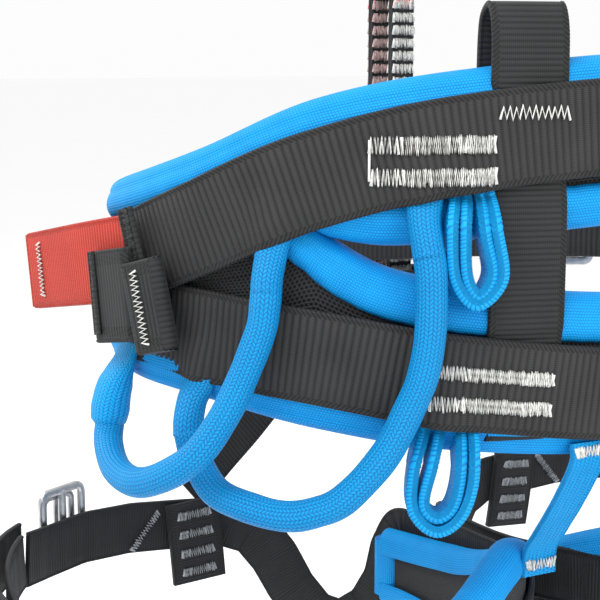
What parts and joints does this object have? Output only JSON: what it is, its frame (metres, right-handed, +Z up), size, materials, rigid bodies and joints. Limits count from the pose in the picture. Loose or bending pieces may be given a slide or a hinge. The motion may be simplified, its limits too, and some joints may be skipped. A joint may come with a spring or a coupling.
{
  "type": "climbing harness",
  "caption": "Climbing harness: padded waist belt with slotted back, ribbed webbing, tubular gear loops, accessory loops, belay loop and padded leg loops.",
  "frame": {"origin": "centre of the waist opening, midway between the belt pad's inner faces and 60 mm below its top edge at the back", "axes": "+Z up, the wearer faces -Y, +X is the wearer's left"},
  "size_m": [0.3872, 0.2552, 0.2959],
  "materials": {
    "foam": "closed-cell foam, matte",
    "black_mesh": "open knit mesh",
    "blue_binding": "knit binding cloth, satin",
    "blue_tube": "braided tubular webbing, satin",
    "blue_webbing": "flat braided webbing, satin",
    "black_webbing": "ribbed polyamide webbing",
    "red_webbing": "ribbed polyester webbing",
    "steel_buckle": "brushed",
    "steel_bar": "brushed"
  },
  "bodies": {
    "belt": {"upper_foam": "foam", "lower_foam": "foam", "outer_mesh": "black_mesh", "inner_lining": "black_mesh", "upper_edge_binding": "blue_binding", "upper_slot_binding": "blue_binding", "lower_slot_binding": "blue_binding", "lower_edge_binding": "blue_binding", "upper_webbing": "black_webbing", "lower_webbing": "black_webbing", "back_strap_l": "black_webbing", "back_strap_r": "black_webbing", "front_strap": "black_webbing", "waist_buckle_l": "steel_buckle", "waist_buckle_r": "steel_buckle", "strap_keeper_l": "black_webbing", "strap_keeper_r": "black_webbing", "tie_in_upper": "black_webbing", "tie_in_lower": "black_webbing", "gear_sleeve_l": "blue_webbing", "gear_sleeve_r": "blue_webbing", "riser_l": "blue_webbing", "riser_r": "blue_webbing"},
    "gear_front_l": {"gear_loop_front_l": "blue_tube"},
    "gear_rear_l": {"gear_loop_rear_l": "blue_tube"},
    "accessory_upper_body_l": {"accessory_upper_l": "blue_webbing"},
    "accessory_lower_body_l": {"accessory_lower_l": "blue_webbing"},
    "tail_l": {"strap_tail_l": "red_webbing"},
    "waist_slider_l": {"waist_buckle_bar_l": "steel_bar"},
    "leg_l": {"leg_foam_l": "foam", "leg_lining_l": "black_mesh", "leg_binding_l": "blue_binding", "leg_webbing_l": "black_webbing", "leg_tie_strap_l": "black_webbing", "leg_patch_l": "black_webbing", "leg_buckle_l": "steel_buckle", "leg_tail_l": "black_webbing", "leg_keeper_l": "black_webbing"},
    "leg_slider_l": {"leg_buckle_bar_l": "steel_bar"},
    "gear_front_r": {"gear_loop_front_r": "blue_tube"},
    "gear_rear_r": {"gear_loop_rear_r": "blue_tube"},
    "accessory_upper_body_r": {"accessory_upper_r": "blue_webbing"},
    "accessory_lower_body_r": {"accessory_lower_r": "blue_webbing"},
    "tail_r": {"strap_tail_r": "red_webbing"},
    "waist_slider_r": {"waist_buckle_bar_r": "steel_bar"},
    "leg_r": {"leg_foam_r": "foam", "leg_lining_r": "black_mesh", "leg_binding_r": "blue_binding", "leg_webbing_r": "black_webbing", "leg_tie_strap_r": "black_webbing", "leg_patch_r": "black_webbing", "leg_buckle_r": "steel_buckle", "leg_tail_r": "black_webbing", "leg_keeper_r": "black_webbing"},
    "leg_slider_r": {"leg_buckle_bar_r": "steel_bar"},
    "haul": {"haul_loop": "blue_webbing"},
    "belay": {"belay_loop": "black_webbing"}
  },
  "joints": [
    {"name": "gear_front_l_swing", "type": "hinge", "parent": "belt", "child": "gear_front_l", "pos_m": [0.12615, 0.06539, -0.002], "axis": [0.3304, -0.6753, -0.6594], "range_deg": [0, 40]},
    {"name": "gear_rear_l_swing", "type": "hinge", "parent": "belt", "child": "gear_rear_l", "pos_m": [0.08567, 0.09473, 0.007], "axis": [0.5689, -0.5154, -0.6409], "range_deg": [0, 40]},
    {"name": "accessory_upper_l_swing", "type": "hinge", "parent": "belt", "child": "accessory_upper_body_l", "pos_m": [0.07093, 0.10023, 0.016], "axis": [0.9349, -0.3549, 0], "range_deg": [0, 50]},
    {"name": "accessory_lower_l_swing", "type": "hinge", "parent": "belt", "child": "accessory_lower_body_l", "pos_m": [0.08113, 0.09591, -0.0575], "axis": [0.9107, -0.4131, 0], "range_deg": [0, 50]},
    {"name": "strap_tail_l_slide", "type": "slide", "parent": "belt", "child": "tail_l", "axis": [0.1441, -0.9742, -0.1736], "range_m": [0, 0.01]},
    {"name": "waist_slider_l_slide", "type": "slide", "parent": "belt", "child": "waist_slider_l", "axis": [0.837, 0.5472, 0], "range_m": [-0.003, 0.003]},
    {"name": "leg_l_swing", "type": "hinge", "parent": "belt", "child": "leg_l", "pos_m": [0, -0.118, -0.052], "axis": [1, 0, 0], "range_deg": [-3, 7], "deforming": ["riser_l"]},
    {"name": "leg_slider_l_slide", "type": "slide", "parent": "leg_l", "child": "leg_slider_l", "axis": [0.8868, 0.4621, 0], "range_m": [-0.003, 0.003]},
    {"name": "gear_front_r_swing", "type": "hinge", "parent": "belt", "child": "gear_front_r", "pos_m": [-0.12615, 0.06539, -0.002], "axis": [0.3304, 0.6753, 0.6594], "range_deg": [0, 40]},
    {"name": "gear_rear_r_swing", "type": "hinge", "parent": "belt", "child": "gear_rear_r", "pos_m": [-0.08567, 0.09473, 0.007], "axis": [0.5689, 0.5154, 0.6409], "range_deg": [0, 40]},
    {"name": "accessory_upper_r_swing", "type": "hinge", "parent": "belt", "child": "accessory_upper_body_r", "pos_m": [-0.07093, 0.10023, 0.016], "axis": [0.9349, 0.3549, 0], "range_deg": [0, 50]},
    {"name": "accessory_lower_r_swing", "type": "hinge", "parent": "belt", "child": "accessory_lower_body_r", "pos_m": [-0.08113, 0.09591, -0.0575], "axis": [0.9107, 0.4131, 0], "range_deg": [0, 50]},
    {"name": "strap_tail_r_slide", "type": "slide", "parent": "belt", "child": "tail_r", "axis": [-0.1441, -0.9742, -0.1736], "range_m": [0, 0.01]},
    {"name": "waist_slider_r_slide", "type": "slide", "parent": "belt", "child": "waist_slider_r", "axis": [-0.837, 0.5472, 0], "range_m": [-0.003, 0.003]},
    {"name": "leg_r_swing", "type": "hinge", "parent": "belt", "child": "leg_r", "pos_m": [0, -0.118, -0.052], "axis": [1, 0, 0], "range_deg": [-3, 7], "deforming": ["riser_r"]},
    {"name": "leg_slider_r_slide", "type": "slide", "parent": "leg_r", "child": "leg_slider_r", "axis": [-0.8868, 0.4621, 0], "range_m": [-0.003, 0.003]},
    {"name": "haul_loop_swing", "type": "hinge", "parent": "belt", "child": "haul", "pos_m": [0, 0.113, -0.0645], "axis": [1, 0, 0], "range_deg": [0, 80]},
    {"name": "belay_loop_swing", "type": "hinge", "parent": "belt", "child": "belay", "pos_m": [-0.033, -0.118, -0.033], "axis": [1, 0, 0], "range_deg": [-3, 3]}
  ],
  "couplings": [
    {"joint": "gear_front_l_swing", "follows": "gear_rear_l_swing", "ratio": 1},
    {"joint": "gear_front_r_swing", "follows": "gear_rear_r_swing", "ratio": 1}
  ]
}
